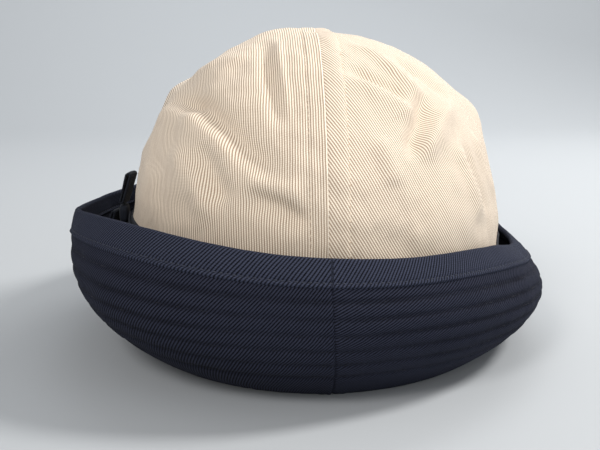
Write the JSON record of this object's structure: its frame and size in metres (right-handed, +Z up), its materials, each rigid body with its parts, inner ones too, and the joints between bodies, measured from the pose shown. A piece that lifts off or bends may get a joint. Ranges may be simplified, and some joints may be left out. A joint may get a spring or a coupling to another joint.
{
  "type": "soft brimmed hat",
  "caption": "Soft fabric hat with a round two-panel twill crown, a quilted brim turned up all round, and a ribbon tied at one side.",
  "frame": {"origin": "centre of the head opening, in the plane that the rolled brim rests on", "axes": "+Z up towards the top of the crown, +Y towards the front of the hat, +X towards the wearer's right"},
  "size_m": [0.2422, 0.2806, 0.155],
  "materials": {
    "cream_twill": "matte bold cotton twill",
    "cream_thread": "matte sewing thread",
    "cotton_tape": "plain woven cotton tape",
    "navy_twill": "matte cotton twill with a soft sheen",
    "navy_binding": "cotton twill cut on the bias",
    "navy_thread": "matte sewing thread",
    "interlining": "stiff woven interlining",
    "sweatband": "plain woven cotton",
    "black_ribbon": "ribbed grosgrain with a low sheen"
  },
  "bodies": {
    "root": {"crown_left_panel": "cream_twill", "crown_right_panel": "cream_twill", "crown_topstitching": "cream_thread", "crown_seam_tape": "cotton_tape", "seam_binding": "cotton_tape", "sweatband": "sweatband", "sweatband_stitching": "navy_thread", "brim_underside_left": "navy_twill", "brim_underside_right": "navy_twill", "brim_top_left": "navy_twill", "brim_top_right": "navy_twill", "brim_interlining_left": "interlining", "brim_interlining_right": "interlining", "brim_edge_binding": "navy_binding", "binding_stitching": "navy_thread", "quilting_thread_underside": "navy_thread", "quilting_thread_top": "navy_thread", "crown_ribbon": "black_ribbon", "ribbon_knot": "black_ribbon", "bow_loop_upright": "black_ribbon", "bow_loop_lower": "black_ribbon", "ribbon_tail": "black_ribbon"}
  },
  "joints": []
}
